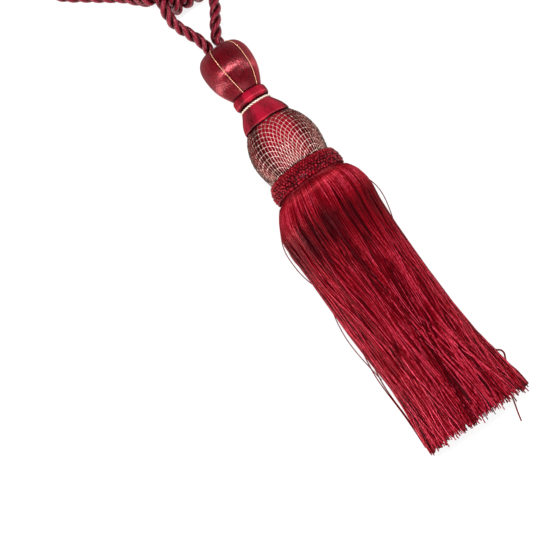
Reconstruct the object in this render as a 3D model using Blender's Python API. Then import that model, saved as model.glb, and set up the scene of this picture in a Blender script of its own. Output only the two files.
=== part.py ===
"""Curtain tieback tassel, lying on a table with its cord and the tieback rope's two eyes.

+Z is up, +Y runs from the cut end of the fringe to the knot and +X is the tassel's right side.
The origin lies on the table under the middle of the tassel. Lengths are in millimetres here and
are turned to metres where a mesh is made.
"""

import math

import bmesh
import bpy
import numpy as np
from mathutils import Vector
from mathutils.geometry import delaunay_2d_cdt

MM = 0.001
TABLE = 0.0

# The head: turned moulds on one axis, which dips towards the cord.
HEAD_TOP = (-0.2, 141.2)  # x and y of the head's top, where the cord comes out
HEAD_DIP = math.radians(10.5)
FLAT_DEPTH = 0.15  # how much the head ball is flattened where it rests
SIDES = 30

# Profiles, as (along the axis from the head's top, radius).
HEAD_BALL = ((0.0, 8.0), (1.9, 12.5), (6.5, 15.35), (15.7, 16.7), (25.0, 15.2), (31.5, 12.3), (35.4, 10.1))
COLLAR = ((35.7, 10.6), (36.7, 11.6), (39.2, 11.9), (41.7, 11.6), (42.6, 10.8))
CREAM_BAND = ((42.9, 10.2), (43.3, 10.8), (44.5, 10.8), (44.9, 10.2))
CONE = ((45.2, 10.4), (48.7, 12.7), (52.7, 15.05), (55.2, 15.9), (57.6, 16.25), (58.4, 15.8))
NET_BALL = ((58.7, 16.6), (62.8, 19.1), (67.8, 21.4), (73.5, 22.9), (79.1, 23.4), (85.0, 22.8), (92.9, 21.3))
BRAID_BAND = ((93.2, 22.6), (95.0, 23.9), (99.3, 24.5), (103.5, 24.1), (105.4, 23.0))

# The gilt lines on the head ball.
LINE_TURNS = (-19, 43, 118, 199, 239)  # in degrees from the ball's upper side, laid by eye
LINE_SLANT = math.radians(9.0)  # how far a line has turned at its end
LINE_RADIUS = 0.22
LINE_LIFT = 0.27
LINE_ENDS = (3.0, 1.2)  # bare stretch at the line's start and end, along the ball's surface
LINE_POINTS = 16

# The braid band's nubs.
NUBS_AROUND = 44
NUB_ROWS = 4
NUB_HEIGHT = 0.8

# The fringe: rings of locks, each from a root in the backing disc to the cut end.
BACKING = (105.7, 107.3)
BACKING_RADIUS = 23.0
RING_LOCKS = (60, 48, 36, 24, 12)
RING_SHARES = (1.0, 0.8, 0.6, 0.4, 0.2)
RING_STAGGER = 0.19  # of a lock's spacing
ROOT_RING_RADIUS = 21.4
ROOT_WIDE = 1.95
ROOT_TALL = 1.75
RIM_SIDES = 48
STRAIGHT_AFTER = 40.0  # the sections stop leaning with the head this far from the root
MIDDLE_SHARE = 0.48  # height of a section's middle as a share of its top
BELLY = 1.3  # how far the lower side would bulge if the table did not stop it
SOLE_GAP = 0.02
TIP_SPREAD = 3.0
TIP_SHORT_BELOW = 12.0
TIP_TURN = 2.4  # a step round the circle that never repeats, so that no two neighbours end alike
SECTIONS = (
    # from the root, half width, top, bottom, drift to the right, lock width, lock height
    dict(run=7.0, half=29.2, top=57.5, bottom=4.5, drift=-0.6, wide=2.1, tall=1.8),
    dict(run=19.0, half=34.0, top=55.0, bottom=0.0, drift=-2.0, wide=2.3, tall=1.9),
    dict(run=48.0, half=33.0, top=46.0, bottom=0.0, drift=-2.6, wide=2.2, tall=1.9),
    dict(run=88.0, half=32.4, top=36.0, bottom=0.0, drift=-3.2, wide=2.2, tall=1.8),
    dict(run=132.0, half=33.4, top=29.0, bottom=0.0, drift=-2.4, wide=2.2, tall=1.7),
    dict(run=176.0, half=37.0, top=22.5, bottom=0.0, drift=0.5, wide=2.1, tall=1.5),
)

# The rope: three plies, laid to the right.
ROPE_RADIUS = 3.7
ROPE_GROOVE = 2.75
ROPE_LAY = 23.0
CORD_STEP = 2.9
TIEBACK_STEP = 3.8

# The knot: turns of the tassel cord round the doubled tieback rope.
KNOT_MIDDLE = (3.1, 42.1)  # from the head's top
KNOT_SLANT = math.radians(-5.0)
KNOT_RADIUS = 10.0  # to the middle of the rope
KNOT_PITCH = 7.75
KNOT_FIRST = -13.3  # where the first turn crosses the front
KNOT_TURN_POINTS = 12
KNOT_LEVEL = KNOT_RADIUS + ROPE_RADIUS + 0.1

# The two legs between the head and the knot, from the head's top: right, along, height.
LEFT_LEG = (
    (-3.85, 0.5, 14.5),
    (-3.9, 4.0, 13.9),
    (-4.7, 8.0, 13.8),
    (-6.6, 13.0, 14.9),
    (-8.8, 18.0, 16.7),
    (-10.9, 23.0, 18.8),
    (-12.2, 29.0, 21.3),
    (-11.8, 35.0, 23.1),
)
RIGHT_LEG = (
    (3.9, 0.5, 14.5),
    (4.3, 3.8, 14.0),
    (6.2, 7.6, 13.3),
    (9.6, 13.0, 11.7),
    (13.9, 19.0, 9.3),
    (17.4, 25.2, 6.7),
    (19.6, 30.5, 4.6),
    (18.9, 34.6, 3.9),
)

# The tieback rope's way through the knot and round one eye.
STACK_RISE = 2.95  # each strand lies this far above or below the knot's middle
SQUEEZE = 0.75  # the rope's thickness inside the knot, as a share
SQUEEZED_FOR = 14.5
LOOSE_FROM = 21.0
STACK_OUT = ((6.0, 0.0), (12.0, 0.9), (16.5, 2.2))  # along the knot, to the far side
EYE_START = (20.2, 3.4)
EYE_LEAN = math.radians(55.0)  # from the tassel's side towards the cord's end
EYE_RADIUS = 15.0
EYE_REACH = 54.0
LOWER_STRAND = ((0.0, 0.0, 11.4), (12.0, 2.4, 9.0), (26.0, 6.6, 5.6), (42.0, 12.0, 3.9))
UPPER_STRAND = ((0.0, 0.0, 19.2), (12.0, -2.2, 16.6), (26.0, -6.8, 10.6), (42.0, -12.0, 5.4))


def material(name, red, green, blue, roughness, metallic=0.0):
    made = bpy.data.materials.new(name)
    made.use_nodes = True
    shader = made.node_tree.nodes["Principled BSDF"]
    shader.inputs["Base Color"].default_value = (red, green, blue, 1.0)
    shader.inputs["Roughness"].default_value = roughness
    shader.inputs["Metallic"].default_value = metallic
    return made


def smooth_curve(points, places):
    """A natural cubic spline through the points, read at places between 0 and 1 along its chords."""
    points = np.array(points, float)
    steps = np.linalg.norm(np.diff(points, axis=0), axis=1)
    knots = np.concatenate([[0.0], np.cumsum(steps)])
    count = len(points)
    rows = np.zeros((count, count))
    rows[0, 0] = 1.0
    rows[-1, -1] = 1.0
    bend = np.zeros_like(points)
    for at in range(1, count - 1):
        before, after = steps[at - 1], steps[at]
        rows[at, at - 1 : at + 2] = (before, 2 * (before + after), after)
        bend[at] = 6 * ((points[at + 1] - points[at]) / after - (points[at] - points[at - 1]) / before)
    curve = np.linalg.solve(rows, bend)
    places = np.asarray(places) * knots[-1]
    span = np.clip(np.searchsorted(knots, places) - 1, 0, count - 2)
    width = steps[span][:, None]
    left = (knots[span + 1] - places)[:, None]
    right = (places - knots[span])[:, None]
    return (
        curve[span] * left**3 / (6 * width)
        + curve[span + 1] * right**3 / (6 * width)
        + (points[span] / width - curve[span] * width / 6) * left
        + (points[span + 1] / width - curve[span + 1] * width / 6) * right
    )


def even_steps(points, step):
    """The smooth curve through the points, at even distances of about step."""
    dense = smooth_curve(points, np.linspace(0, 1, 4000))
    run = np.concatenate([[0.0], np.cumsum(np.linalg.norm(np.diff(dense, axis=0), axis=1))])
    stops = np.linspace(0, run[-1], round(run[-1] / step) + 1)
    return np.stack([np.interp(stops, run, dense[:, axis]) for axis in range(3)], axis=1)


def profile_radius(profile, along):
    """The radius of a turned profile at places along its axis."""
    dense = smooth_curve(profile, np.linspace(0, 1, 400))
    return np.interp(along, dense[:, 0], dense[:, 1])


def add_object(name, data, finish, parent=None):
    made = bpy.data.objects.new(name, data)
    bpy.context.scene.collection.objects.link(made)
    data.materials.append(finish)
    made.parent = parent
    return made


def finish_mesh(name, shape, finish, parent=None):
    bmesh.ops.recalc_face_normals(shape, faces=shape.faces)
    mesh = bpy.data.meshes.new(name)
    shape.to_mesh(mesh)
    shape.free()
    mesh.shade_smooth()
    mesh.set_sharp_from_angle(angle=math.radians(40))
    return add_object(name, mesh, finish, parent)


def turned(profile, rows):
    """A profile turned about local Z, with closed ends. The head's top is at z = 0."""
    shape = bmesh.new()
    outline = smooth_curve(profile, np.linspace(0, 1, rows))
    outline = [(0.0, profile[0][0]), *((radius, along) for along, radius in outline), (0.0, profile[-1][0])]
    corners = [shape.verts.new((radius * MM, 0, -along * MM)) for radius, along in outline]
    edges = [shape.edges.new(pair) for pair in zip(corners, corners[1:])]
    bmesh.ops.spin(
        shape,
        geom=corners + edges,
        axis=(0, 0, 1),
        cent=(0, 0, 0),
        steps=SIDES,
        angle=2 * math.pi,
        use_merge=True,
    )
    bmesh.ops.remove_doubles(shape, verts=shape.verts, dist=0.00001)
    return shape


def head_frame():
    """An empty at the head's top, with local +Z along the axis towards the cord and local -Y up."""
    frame = bpy.data.objects.new("head_frame", None)
    bpy.context.scene.collection.objects.link(frame)
    frame.location = (HEAD_TOP[0] * MM, HEAD_TOP[1] * MM, head_level() * MM)
    frame.rotation_euler = (-math.pi / 2 - HEAD_DIP, 0, 0)
    bpy.context.view_layer.update()
    return frame


def head_level():
    """The height of the head's top, with the head ball just pressed flat on the table."""
    along = np.linspace(HEAD_BALL[0][0], HEAD_BALL[-1][0], 200)
    depth = profile_radius(HEAD_BALL, along) * math.cos(HEAD_DIP) - along * math.sin(HEAD_DIP)
    return TABLE + depth.max() - FLAT_DEPTH


def rest_flat(shape, frame):
    """Takes off what would lie below the table and closes the cut with one flat face."""
    down = frame.matrix_world.to_3x3().inverted() @ Vector((0, 0, -1))
    place = frame.matrix_world.inverted() @ Vector((frame.location.x, frame.location.y, TABLE))
    cut = bmesh.ops.bisect_plane(
        shape,
        geom=shape.verts[:] + shape.edges[:] + shape.faces[:],
        dist=0.000001,
        plane_co=place,
        plane_no=down,
        clear_outer=True,
    )
    rim = [piece for piece in cut["geom_cut"] if isinstance(piece, bmesh.types.BMEdge)]
    bmesh.ops.contextual_create(shape, geom=rim)


def braid_band(finish, frame):
    """A ring of braid whose surface is raised in staggered nubs."""
    columns = 2 * NUBS_AROUND
    rows = 2 * NUB_ROWS + 1
    outline = smooth_curve(BRAID_BAND, np.linspace(0, 1, rows))
    shape = bmesh.new()
    grid = []
    for row, (along, radius) in enumerate(outline):
        ring = []
        for column in range(columns):
            raised = row % 2 == 1 and (column + row // 2) % 2 == 0
            reach = (radius + NUB_HEIGHT * raised) * MM
            turn = 2 * math.pi * column / columns
            ring.append(shape.verts.new((reach * math.cos(turn), reach * math.sin(turn), -along * MM)))
        grid.append(ring)
    for upper, lower in zip(grid, grid[1:]):
        for column in range(columns):
            after = (column + 1) % columns
            shape.faces.new((upper[column], upper[after], lower[after], lower[column]))
    shape.faces.new(grid[0])
    shape.faces.new(grid[-1][::-1])
    return finish_mesh("braid_band", shape, finish, frame)


def gilt_line(number, start, finish, frame):
    """A single thread laid over the head ball from its top to the collar."""
    turn = math.radians(start) + np.linspace(0, LINE_SLANT, LINE_POINTS)
    outline = smooth_curve(HEAD_BALL, np.linspace(0, 1, 400))
    steps = np.diff(outline, axis=0)
    lengths = np.linalg.norm(steps, axis=1)
    outward = np.stack([-steps[:, 1], steps[:, 0]], axis=1) / lengths[:, None]
    raised = (outline[1:] + outline[:-1]) / 2 + (LINE_LIFT + LINE_RADIUS) * outward
    run = np.cumsum(lengths)
    stops = np.linspace(LINE_ENDS[0], run[-1] - LINE_ENDS[1], LINE_POINTS)
    along = np.interp(stops, run, raised[:, 0])
    reach = np.interp(stops, run, raised[:, 1])
    curve = bpy.data.curves.new(f"gilt_line_{number}", "CURVE")
    curve.dimensions = "3D"
    curve.bevel_depth = LINE_RADIUS * MM
    curve.bevel_resolution = 0
    curve.use_fill_caps = True
    spline = curve.splines.new("POLY")
    spline.points.add(LINE_POINTS - 1)
    for point, place, radius, angle in zip(spline.points, along, reach, turn):
        point.co = (radius * math.sin(angle) * MM, -radius * math.cos(angle) * MM, -place * MM, 1)
    return add_object(curve.name, curve, finish, frame)


def section_outline(section):
    """The ring on which a section's outer locks lie, and the height of its middle.

    It is a dome on a flat sole, as 720 points from the sole's middle, measured from the section's
    middle, and drawn in from the section's sizes by a lock's own size.
    """
    turn = np.radians(np.arange(720) / 2 - 90)
    low = section["bottom"] + section["tall"] / 3 + SOLE_GAP
    high = section["top"] - 2 * section["tall"] / 3
    middle = low + MIDDLE_SHARE * (high - low)
    rise = np.where(np.sin(turn) < 0, BELLY * (middle - low), high - middle)
    across = (section["half"] - section["wide"] / 2) * np.cos(turn)
    height = np.maximum(rise * np.sin(turn), low - middle)
    return np.stack([across, height], axis=1), middle


def along_outline(outline, count, ring):
    """Evenly spaced points round a closed outline, each ring's a little further round than the last."""
    closed = np.vstack([outline, outline[:1]])
    run = np.concatenate([[0.0], np.cumsum(np.linalg.norm(np.diff(closed, axis=0), axis=1))])
    stops = (np.arange(count) + RING_STAGGER * (ring + 1)) / count * run[-1]
    return np.stack([np.interp(stops, run, closed[:, axis]) for axis in range(2)], axis=1)


def lock_corners(wide, tall):
    """A lock's three corners about its middle, flat side down: across, up."""
    return np.array([(-wide / 2, -tall / 3), (wide / 2, -tall / 3), (0.0, 2 * tall / 3)])


def lock_tip(spot, section, order):
    """How far a lock reaches: the cut end is ragged, and the lower locks are shorter."""
    below = max(0.0, -spot[1]) / (MIDDLE_SHARE * section["top"])
    ragged = TIP_SPREAD * math.sin(order * TIP_TURN)
    return ragged - TIP_SHORT_BELOW * below


def fringe(finish):
    """Locks of thread that leave a disc under the braid and settle on the table."""
    level = head_level() + BACKING[1] * math.sin(HEAD_DIP)
    root_y = HEAD_TOP[1] - BACKING[1] * math.cos(HEAD_DIP)
    lean = math.sin(HEAD_DIP), math.cos(HEAD_DIP)
    turn = np.radians(np.arange(720) / 2 - 90)
    disc = ROOT_RING_RADIUS * np.stack([np.cos(turn), np.sin(turn)], axis=1)
    first = lock_corners(ROOT_WIDE, ROOT_TALL)
    rim_turn = np.arange(RIM_SIDES) / RIM_SIDES * 2 * math.pi
    rim = BACKING_RADIUS * np.stack([np.cos(rim_turn), np.sin(rim_turn)], axis=1)

    rings = list(enumerate(zip(RING_LOCKS, RING_SHARES)))
    roots = [root for ring, (locks, share) in rings for root in along_outline(disc * share, locks, ring)]
    flat = [Vector(point) for point in rim]
    faces = [list(range(len(rim)))]
    for root in roots:
        faces.append([len(flat), len(flat) + 1, len(flat) + 2])
        flat.extend(Vector(root + corner) for corner in first)
    corners, _, triangles, sources, _, owners = delaunay_2d_cdt(flat, [], faces, 1, 0.00001)

    def root_place(point, back=0.0):
        """A point of the disc, tilted as the head is."""
        up = point[1]
        return (
            (HEAD_TOP[0] + point[0]) * MM,
            (root_y + up * lean[0] + back * lean[1]) * MM,
            (level + up * lean[1] - back * lean[0]) * MM,
        )

    shape = bmesh.new()
    face_verts = [shape.verts.new(root_place(point)) for point in corners]
    for triangle, owner in zip(triangles, owners):
        if owner == [0]:
            shape.faces.new([face_verts[corner] for corner in triangle])
    placed = {source: face_verts[at] for at, found in enumerate(sources) for source in found}

    order = 0
    for number, (locks, share) in rings:
        outlines = [section_outline(section) for section in SECTIONS]
        lanes = [along_outline(outline * share, locks, number) for outline, _ in outlines]
        middles = [middle for _, middle in outlines]
        for lock in range(locks):
            start = len(rim) + 3 * order
            ring = [placed[start + corner] for corner in range(3)]
            for section, lane, middle in zip(SECTIONS, lanes, middles):
                spot = lane[lock]
                lean_share = max(0.0, 1 - section["run"] / STRAIGHT_AFTER) * math.tan(HEAD_DIP)
                run = section["run"]
                if section is SECTIONS[-1]:
                    run += lock_tip(spot, section, order)
                new_ring = []
                for across, up in lock_corners(section["wide"], section["tall"]):
                    height = middle + spot[1] + up
                    new_ring.append(
                        shape.verts.new(
                            (
                                (HEAD_TOP[0] + section["drift"] + spot[0] + across) * MM,
                                (root_y - run + (height - level) * lean_share) * MM,
                                height * MM,
                            )
                        )
                    )
                for side in range(3):
                    after = (side + 1) % 3
                    shape.faces.new((ring[side], ring[after], new_ring[after], new_ring[side]))
                ring = new_ring
            shape.faces.new(ring)
            order += 1

    backing = BACKING[1] - BACKING[0]
    low_rim = [placed[corner] for corner in range(len(rim))]
    high_rim = [shape.verts.new(root_place(point, backing)) for point in rim]
    for corner in range(len(rim)):
        after = (corner + 1) % len(rim)
        shape.faces.new((low_rim[corner], low_rim[after], high_rim[after], high_rim[corner]))
    shape.faces.new(high_rim)
    return finish_mesh("fringe", shape, finish)


def knot_place(along, across, height):
    """A place in the knot's own axes, as x, y from the head's top, and height."""
    return (
        KNOT_MIDDLE[0] + along * math.cos(KNOT_SLANT) - across * math.sin(KNOT_SLANT),
        KNOT_MIDDLE[1] + along * math.sin(KNOT_SLANT) + across * math.cos(KNOT_SLANT),
        height,
    )


def tassel_cord_route():
    """Left leg, over the front of the knot, three and a half turns, and out below as the right leg."""
    turns = []
    for step in range(int(3.5 * KNOT_TURN_POINTS) + 1):
        turn = math.pi / 2 + 2 * math.pi * step / KNOT_TURN_POINTS
        turns.append(
            knot_place(
                KNOT_FIRST + KNOT_PITCH * step / KNOT_TURN_POINTS,
                -KNOT_RADIUS * math.cos(turn),
                KNOT_LEVEL + KNOT_RADIUS * math.sin(turn),
            )
        )
    return [*LEFT_LEG, *turns, *RIGHT_LEG[::-1]]


def eye_route(side):
    """From the knot's middle on the upper strand, round one eye and back on the lower strand."""
    upper = [knot_place(side * along, across, KNOT_LEVEL + STACK_RISE) for along, across in STACK_OUT]
    lower = [knot_place(side * along, across, KNOT_LEVEL - STACK_RISE) for along, across in STACK_OUT]

    start = knot_place(side * EYE_START[0], EYE_START[1], 0.0)
    lean = math.cos(EYE_LEAN), math.sin(EYE_LEAN)

    def out(along, aside, height):
        return (
            start[0] + side * (along * lean[0] + aside * lean[1]),
            start[1] + along * lean[1] - aside * lean[0],
            height,
        )

    level = ROPE_RADIUS + 0.1
    bend = [
        out(EYE_REACH + EYE_RADIUS * math.sin(turn), -EYE_RADIUS * math.cos(turn), level)
        for turn in np.radians((0, 30, 60, 90, 120, 150, 180))
    ]
    upper += [out(*spot) for spot in UPPER_STRAND]
    lower += [out(*spot) for spot in LOWER_STRAND]
    return [*upper, *bend, *lower[::-1]]


def tieback_route():
    """One rope: out of the knot's middle, round the right eye, through the knot and round the left."""
    end = knot_place(0.5, 0.0, KNOT_LEVEL + STACK_RISE)
    other_end = knot_place(-0.5, 0.0, KNOT_LEVEL + STACK_RISE)
    middle = knot_place(0.0, 0.0, KNOT_LEVEL - STACK_RISE)
    return [end, *eye_route(1), middle, *eye_route(-1)[::-1], other_end]


def rope_profile():
    """The outline of three plies, as a closed curve that the rope's curve uses as its bevel."""
    curve = bpy.data.curves.new("rope_outline", "CURVE")
    curve.dimensions = "2D"
    spline = curve.splines.new("POLY")
    spline.points.add(8)
    for corner, point in enumerate(spline.points):
        reach = ROPE_RADIUS if corner % 3 == 0 else ROPE_GROOVE
        turn = -2 * math.pi * corner / 9
        point.co = (reach * math.cos(turn) * MM, reach * math.sin(turn) * MM, 0, 1)
    spline.use_cyclic_u = True
    outline = bpy.data.objects.new("rope_outline", curve)
    bpy.context.scene.collection.objects.link(outline)
    outline.hide_render = True
    outline.display_type = "WIRE"
    return outline


def rope(name, route, step, outline, finish, thickness=None):
    """A three-ply rope along a route, with the lay raised by turning its outline."""
    places = even_steps(route, step)
    length = np.linalg.norm(np.diff(places, axis=0), axis=1).sum()
    curve = bpy.data.curves.new(name, "CURVE")
    curve.dimensions = "3D"
    curve.bevel_mode = "OBJECT"
    curve.bevel_object = outline
    curve.use_fill_caps = True
    curve.twist_mode = "MINIMUM"
    spline = curve.splines.new("POLY")
    spline.points.add(len(places) - 1)
    for number, (point, place) in enumerate(zip(spline.points, places)):
        x, y, z = place
        point.co = ((HEAD_TOP[0] + x) * MM, (HEAD_TOP[1] + y) * MM, z * MM, 1)
        point.tilt = 2 * math.pi * number * length / (len(places) - 1) / ROPE_LAY
        point.radius = 1.0 if thickness is None else thickness(place)
    return add_object(name, curve, finish)


def squeeze(place):
    """The tieback rope is pressed thin inside the knot."""
    away = math.hypot(place[0] - KNOT_MIDDLE[0], place[1] - KNOT_MIDDLE[1])
    loose = np.clip((away - SQUEEZED_FOR) / (LOOSE_FROM - SQUEEZED_FOR), 0, 1)
    return SQUEEZE + (1 - SQUEEZE) * float(loose)


def build():
    for old in list(bpy.data.objects):
        bpy.data.objects.remove(old)
    satin = material("crimson satin thread", 0.42, 0.008, 0.03, 0.35)
    gilt = material("gold thread", 0.75, 0.42, 0.12, 0.35, 0.8)
    cream = material("cream cord", 0.80, 0.66, 0.52, 0.5)
    netted = material("satin under metal net", 0.50, 0.16, 0.14, 0.45, 0.3)
    braid = material("crimson braid", 0.36, 0.006, 0.022, 0.55)
    thread = material("crimson rayon thread", 0.44, 0.010, 0.03, 0.4)
    twisted = material("crimson twisted rope", 0.38, 0.008, 0.03, 0.45)

    frame = head_frame()
    ball = turned(HEAD_BALL, 14)
    rest_flat(ball, frame)
    finish_mesh("head_ball", ball, satin, frame)
    for number, start in enumerate(LINE_TURNS, 1):
        gilt_line(number, start, gilt, frame)
    finish_mesh("collar", turned(COLLAR, 7), satin, frame)
    finish_mesh("cream_band", turned(CREAM_BAND, 5), cream, frame)
    finish_mesh("cone", turned(CONE, 8), satin, frame)
    finish_mesh("net_ball", turned(NET_BALL, 12), netted, frame)
    braid_band(braid, frame)
    fringe(thread)

    outline = rope_profile()
    rope("tassel_cord", tassel_cord_route(), CORD_STEP, outline, twisted)
    rope("tieback_rope", tieback_route(), TIEBACK_STEP, outline, twisted, squeeze)


build()
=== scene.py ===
"""Looks of the curtain tieback tassel: satin-wound moulds, metal net, braid, fringe and twisted rope.

Sizes are in millimetres, in the frame of the solids: +Z up from the table, +Y from the fringe's cut
end to the knot, +X to the tassel's right. They are turned to metres where a mesh is made.
"""

import math

import bpy
import numpy as np
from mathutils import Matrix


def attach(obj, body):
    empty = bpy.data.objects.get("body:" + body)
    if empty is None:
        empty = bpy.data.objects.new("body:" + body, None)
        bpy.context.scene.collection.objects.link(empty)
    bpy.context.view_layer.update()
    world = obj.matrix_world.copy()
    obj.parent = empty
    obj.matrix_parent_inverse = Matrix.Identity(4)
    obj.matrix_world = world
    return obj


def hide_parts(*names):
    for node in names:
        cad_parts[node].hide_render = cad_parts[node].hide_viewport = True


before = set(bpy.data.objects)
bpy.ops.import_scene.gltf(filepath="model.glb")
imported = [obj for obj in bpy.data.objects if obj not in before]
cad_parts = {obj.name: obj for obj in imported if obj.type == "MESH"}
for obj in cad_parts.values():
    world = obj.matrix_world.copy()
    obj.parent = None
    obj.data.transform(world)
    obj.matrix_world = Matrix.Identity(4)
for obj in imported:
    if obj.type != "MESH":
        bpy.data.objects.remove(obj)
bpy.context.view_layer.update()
MM = 0.001  # metres in a millimetre
chance = np.random.default_rng(29)  # every random number comes from here, in the script's order

# ---- Camera --------------------------------------------------------------------------------------
# The photo looks straight down on the table from far away, turned so that the tassel runs from the
# upper left to the lower right, with the knot cut by the upper edge.
PHOTO_MIDDLE = (-50.8, 4.8)  # the point of the table at the picture's centre
PHOTO_TURN = math.radians(-35.3)
PHOTO_WIDTH = 340.0
CAMERA_AWAY = 5000.0
SIGHT_LEVEL = 15.0  # the height at which the picture is that wide

lens = bpy.data.cameras.new("photo camera")
lens.sensor_width = 36.0
lens.lens = lens.sensor_width * CAMERA_AWAY / PHOTO_WIDTH
lens.clip_start, lens.clip_end = 0.5, 20.0
camera = bpy.data.objects.new("photo camera", lens)
camera.location = np.array([*PHOTO_MIDDLE, CAMERA_AWAY + SIGHT_LEVEL]) * MM
camera.rotation_euler = (0.0, 0.0, PHOTO_TURN)
bpy.context.scene.collection.objects.link(camera)
bpy.context.scene.camera = camera

# ---- Twisted rope: the tassel cord and the tieback -----------------------------------------------
# Both are three plies of crimson rayon over a cotton core, laid to the right with about 23 mm to a
# turn. The tassel cord leaves the head as two legs and is wound as the knot; the tieback is doubled
# through the knot and ends in an eye at each side.
HEAD_TOP = (-0.2, 141.2)  # x and y of the head's top, where the cord comes out
ROPE_RADIUS = 3.7
ROPE_LAY = 23.0
PLY_RADIUS = 1.76
PLY_SIDES = 14
YARNS = 9.0  # yarns of about 1.2 mm in a ply
YARN_SLANT = -0.62  # yarns crossed in a millimetre: 15 mm to a turn, against the rope's lay
LEG_SUNK = (0.0, 2.6, 0.5)  # how far the legs' ends go down the ball's hole
TABLE_GAP = 0.1
KNOT_MIDDLE = (3.1, 42.1)  # from the head's top
KNOT_SLANT = math.radians(-5.0)
KNOT_RADIUS = 10.0
KNOT_PITCH = 7.75
KNOT_FIRST = -13.3  # where the first turn starts, along the knot
KNOT_TURNS = 3.5
KNOT_TURN_POINTS = 12
KNOT_LEVEL = KNOT_RADIUS + ROPE_RADIUS + TABLE_GAP
LEFT_LEG = (
    (-3.85, 0.5, 14.5),
    (-3.9, 4.0, 13.9),
    (-4.7, 8.0, 13.8),
    (-6.6, 13.0, 14.9),
    (-8.8, 18.0, 16.7),
    (-10.9, 23.0, 18.8),
    (-12.2, 29.0, 21.3),
    (-11.8, 35.0, 23.1),
)
RIGHT_LEG = (
    (3.9, 0.5, 14.5),
    (4.3, 3.8, 14.0),
    (6.2, 7.6, 13.3),
    (9.6, 13.0, 11.7),
    (13.9, 19.0, 9.3),
    (17.4, 25.2, 6.7),
    (19.6, 30.5, 4.6),
    (18.9, 34.6, 3.9),
)
STACK_RISE = 2.95  # how far over and under the knot's middle the tieback's two strands pass
STACK_OUT = ((6.0, 0.0), (12.0, 0.9), (16.5, 2.2))  # along and across the knot
SQUEEZE = 0.75  # the tieback's thickness inside the knot, as a share
SQUEEZED_FOR = 14.5  # how far from the knot's middle it stays so thin,
LOOSE_FROM = 21.0  # and from where it is full again
EYE_START = (20.2, 3.4)
EYE_LEAN = math.radians(55.0)  # from the tassel's side towards the cord's end
EYE_RADIUS = 15.0
EYE_REACH = 54.0
LOWER_STRAND = ((0.0, 0.0, 11.4), (12.0, 2.4, 9.0), (26.0, 6.6, 5.6), (42.0, 12.0, 3.9))
UPPER_STRAND = ((0.0, 0.0, 19.2), (12.0, -2.2, 16.6), (26.0, -6.8, 10.6), (42.0, -12.0, 5.4))


def linear(colour):
    """An sRGB hex colour as linear red, green, blue and 1: each channel by the sRGB curve."""
    coded = np.array([int(colour[at : at + 2], 16) for at in (1, 3, 5)]) / 255
    light = np.where(coded <= 0.04045, coded / 12.92, ((coded + 0.055) / 1.055) ** 2.4)
    return (*light.tolist(), 1.0)


def set_inputs(tree, node, inputs):
    """Fills a node's inputs by name, each with a value, the socket that feeds it, or a node that does
    so with its first output."""
    for name, value in inputs.items():
        if isinstance(value, bpy.types.Node):
            value = value.outputs[0]
        if isinstance(value, bpy.types.NodeSocket):
            tree.links.new(value, node.inputs[name])
        else:
            node.inputs[name].default_value = value


def add_node(tree, kind, inputs=None, **settings):
    """Adds a node with its own settings and its inputs."""
    made = tree.nodes.new(kind)
    for name, value in settings.items():
        setattr(made, name, value)
    set_inputs(tree, made, inputs or {})
    return made


def set_stops(ramp, *stops):
    """Gives a colour ramp its stops from the lowest up, each a place and a hex colour."""
    colours = ramp.color_ramp.elements
    for end in (0, -1):
        colours[end].position = stops[end][0]
        colours[end].color = linear(stops[end][1])
    for place, colour in stops[1:-1]:
        colours.new(place).color = linear(colour)


def new_material(name):
    """An empty material: its node tree, and its one shader, joined to the output."""
    made = bpy.data.materials.new(name)
    made.use_nodes = True
    return made, made.node_tree, made.node_tree.nodes["Principled BSDF"]


def run_along(points):
    """How far along a line of points each one lies: the sum of the steps before it."""
    return np.concatenate([[0.0], np.cumsum(np.linalg.norm(np.diff(points, axis=0), axis=1))])


def read_line(points, run, stops):
    """Places on a line of points, so far along it."""
    return np.stack([np.interp(stops, run, values) for values in points.T], axis=1)


def smooth_curve(points, places):
    """A natural cubic spline through the points, read at places from 0 to 1 along its chords."""
    points = np.array(points, float)
    steps = np.linalg.norm(np.diff(points, axis=0), axis=1)
    knots = run_along(points)
    count = len(points)
    rows = np.eye(count)
    inner = np.arange(1, count - 1)
    rows[inner, inner - 1] = steps[:-1]
    rows[inner, inner] = 2 * (steps[:-1] + steps[1:])
    rows[inner, inner + 1] = steps[1:]
    bend = np.zeros_like(points)
    slopes = np.diff(points, axis=0) / steps[:, None]
    bend[1:-1] = 6 * np.diff(slopes, axis=0)
    curve = np.linalg.solve(rows, bend)
    places = np.asarray(places) * knots[-1]
    span = np.clip(np.searchsorted(knots, places) - 1, 0, count - 2)
    width = steps[span][:, None]
    left = (knots[span + 1] - places)[:, None]
    right = (places - knots[span])[:, None]
    return (
        curve[span] * left**3 / (6 * width)
        + curve[span + 1] * right**3 / (6 * width)
        + (points[span] / width - curve[span] * width / 6) * left
        + (points[span + 1] / width - curve[span + 1] * width / 6) * right
    )


def even_steps(points, step):
    """The smooth curve through the points, at even distances of about step."""
    dense = smooth_curve(points, np.linspace(0, 1, 4000))
    run = run_along(dense)
    return read_line(dense, run, np.linspace(0, run[-1], round(run[-1] / step) + 1))


def unit(vectors):
    """Each vector over its own length."""
    return vectors / np.linalg.norm(vectors, axis=-1, keepdims=True)


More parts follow.
